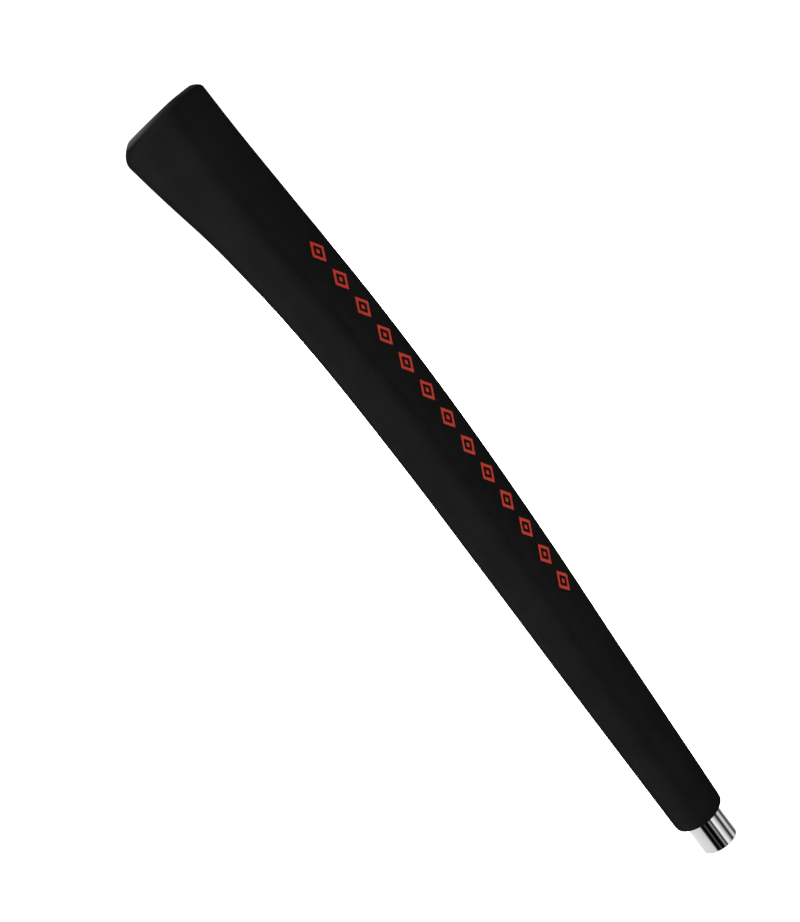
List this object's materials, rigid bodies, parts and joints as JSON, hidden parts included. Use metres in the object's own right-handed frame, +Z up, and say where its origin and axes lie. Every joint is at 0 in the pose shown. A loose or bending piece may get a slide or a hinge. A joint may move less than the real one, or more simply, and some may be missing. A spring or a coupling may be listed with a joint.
{
  "type": "golf grip",
  "caption": "Pistol-style putter grip of smooth black rubber with a flat thumb side, a flared heel, red paint-filled lozenges and a short chrome-plated shaft end.",
  "frame": {"origin": "centre of the shaft section's cut end, on the shaft's axis", "axes": "+Z up the shaft's axis towards the grip's butt, -Y out of the grip's flat thumb side, +Y towards the heel, +X across the flat side"},
  "size_m": [0.0244, 0.0391, 0.3037],
  "materials": {
    "grip_rubber": "smooth matte moulded rubber with a very fine grain",
    "cap_rubber": "smooth matte moulded rubber, slightly harder than the sleeve",
    "mark_paint": "satin red paint filling shallow recesses",
    "tape_paper": "creped paper tape with a slightly shiny adhesive face",
    "shaft_chrome": "bright polished chrome plating on steel tube"
  },
  "bodies": {
    "shaft": {"shaft_section": "shaft_chrome", "grip_tape": "tape_paper"},
    "grip": {"grip_sleeve": "grip_rubber", "butt_cap": "cap_rubber", "mark_outlines": "mark_paint", "mark_centres": "mark_paint"}
  },
  "joints": [
    {"name": "grip_slide", "type": "slide", "parent": "shaft", "child": "grip", "axis": [0, 0, 1], "range_m": [0, 0.25]}
  ]
}
